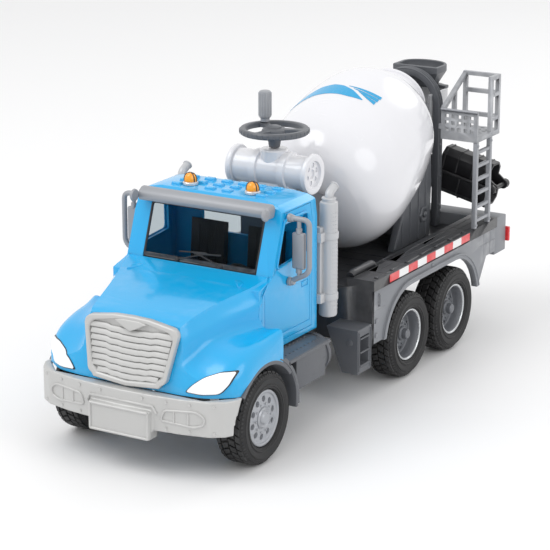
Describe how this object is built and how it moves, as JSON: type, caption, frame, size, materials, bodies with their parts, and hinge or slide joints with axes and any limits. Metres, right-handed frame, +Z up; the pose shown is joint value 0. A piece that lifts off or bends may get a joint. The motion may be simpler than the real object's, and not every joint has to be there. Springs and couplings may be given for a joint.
{
  "type": "toy concrete mixer truck",
  "caption": "Toy concrete mixer truck with opening doors, turning drum and hand crank, swinging and folding chute, ladder and platform, on six rolling wheels.",
  "frame": {"origin": "on the ground, under the middle of the truck's box", "axes": "+Z up, the nose points to -Y, +X is the truck's left side"},
  "size_m": [0.158, 0.4578, 0.2215],
  "materials": {
    "blue_body": "glossy moulded plastic",
    "silver_plastic": "satin silver-grey plastic",
    "mid_grey": "satin grey plastic",
    "light_grey": "satin light grey plastic",
    "dark_grey": "satin dark grey plastic",
    "deck_grey": "satin near-black grey plastic",
    "skirt_grey": "satin grey plastic",
    "near_black": "matt black plastic",
    "white_gloss": "glossy white plastic",
    "tyre": "black moulded rubber",
    "front_rim": "light grey plastic",
    "rear_rim": "grey plastic with a light edge",
    "clear_plastic": "clear lightly tinted plastic",
    "lamp_white": "white lamp lens",
    "amber": "clear amber plastic",
    "red": "red plastic",
    "steel": "plain steel pin"
  },
  "bodies": {
    "truck": {"chassis_frame": "dark_grey", "side_step_left": "dark_grey", "side_step_right": "dark_grey", "fender_flare_left": "dark_grey", "fender_flare_right": "dark_grey", "side_box_left": "dark_grey", "side_box_right": "dark_grey", "drum_front_support": "dark_grey", "drum_rear_support": "dark_grey", "hopper_arch": "dark_grey", "hopper": "dark_grey", "axle_front": "steel", "axle_middle": "steel", "axle_rear": "steel", "hood": "blue_body", "cab_shell": "blue_body", "grille": "silver_plastic", "front_bumper": "silver_plastic", "headlight_left": "lamp_white", "headlight_right": "lamp_white", "windshield": "clear_plastic", "sun_visor": "mid_grey", "platform": "mid_grey", "ladder": "mid_grey", "beacon_left": "amber", "beacon_right": "amber", "dashboard": "deck_grey", "seats": "deck_grey", "deck": "deck_grey", "steering_wheel": "near_black", "exhaust_left": "light_grey", "exhaust_right": "light_grey", "collector": "light_grey", "side_skirt_left": "skirt_grey", "side_skirt_right": "skirt_grey", "tail_block": "skirt_grey", "tail_lamp_left": "red", "tail_lamp_right": "red", "water_tank": "white_gloss"},
    "door_left": {"door_left": "blue_body", "mirror_left": "mid_grey"},
    "door_right": {"door_right": "blue_body", "mirror_right": "mid_grey"},
    "drum_body": {"drum": "white_gloss"},
    "crank_body": {"crank_wheel": "dark_grey", "crank_knob": "mid_grey"},
    "chute_body": {"chute_main": "near_black"},
    "extension_body": {"chute_extension": "near_black"},
    "wheel_front_left": {"tyre_front_left": "tyre", "rim_front_left": "front_rim"},
    "wheel_front_right": {"tyre_front_right": "tyre", "rim_front_right": "front_rim"},
    "wheel_middle_left": {"tyre_middle_left": "tyre", "rim_middle_left": "rear_rim"},
    "wheel_middle_right": {"tyre_middle_right": "tyre", "rim_middle_right": "rear_rim"},
    "wheel_rear_left": {"tyre_rear_left": "tyre", "rim_rear_left": "rear_rim"},
    "wheel_rear_right": {"tyre_rear_right": "tyre", "rim_rear_right": "rear_rim"}
  },
  "joints": [
    {"name": "wheel_front_left_spin", "type": "hinge", "parent": "truck", "child": "wheel_front_left", "pos_m": [0.067, -0.16645, 0.033], "axis": [1, 0, 0], "continuous": true},
    {"name": "wheel_front_right_spin", "type": "hinge", "parent": "truck", "child": "wheel_front_right", "pos_m": [-0.067, -0.16645, 0.033], "axis": [1, 0, 0], "continuous": true},
    {"name": "wheel_middle_left_spin", "type": "hinge", "parent": "truck", "child": "wheel_middle_left", "pos_m": [0.067, 0.04555, 0.033], "axis": [1, 0, 0], "continuous": true},
    {"name": "wheel_middle_right_spin", "type": "hinge", "parent": "truck", "child": "wheel_middle_right", "pos_m": [-0.067, 0.04555, 0.033], "axis": [1, 0, 0], "continuous": true},
    {"name": "wheel_rear_left_spin", "type": "hinge", "parent": "truck", "child": "wheel_rear_left", "pos_m": [0.067, 0.12055, 0.033], "axis": [1, 0, 0], "continuous": true},
    {"name": "wheel_rear_right_spin", "type": "hinge", "parent": "truck", "child": "wheel_rear_right", "pos_m": [-0.067, 0.12055, 0.033], "axis": [1, 0, 0], "continuous": true},
    {"name": "door_left_hinge", "type": "hinge", "parent": "truck", "child": "door_left", "pos_m": [0.06, -0.14255, 0.116], "axis": [0, 0, -1], "range_deg": [0, 60]},
    {"name": "door_right_hinge", "type": "hinge", "parent": "truck", "child": "door_right", "pos_m": [-0.06, -0.14255, 0.116], "axis": [0, 0, 1], "range_deg": [0, 60]},
    {"name": "drum_spin", "type": "hinge", "parent": "truck", "child": "drum_body", "pos_m": [0, 0.07505, 0.1455], "axis": [0, 0.9063, 0.4226], "continuous": true},
    {"name": "crank_spin", "type": "hinge", "parent": "truck", "child": "crank_body", "pos_m": [0, -0.02445, 0.196], "axis": [0, 0, 1], "continuous": true},
    {"name": "chute_swing", "type": "hinge", "parent": "truck", "child": "chute_body", "pos_m": [0, 0.20555, 0.111], "axis": [0, 0, 1], "range_deg": [0, 180]},
    {"name": "chute_fold", "type": "hinge", "parent": "chute_body", "child": "extension_body", "pos_m": [0.07338, 0.20555, 0.1132], "axis": [0, 1, 0], "range_deg": [0, 170]}
  ],
  "couplings": [
    {"joint": "drum_spin", "follows": "crank_spin", "ratio": 1}
  ]
}
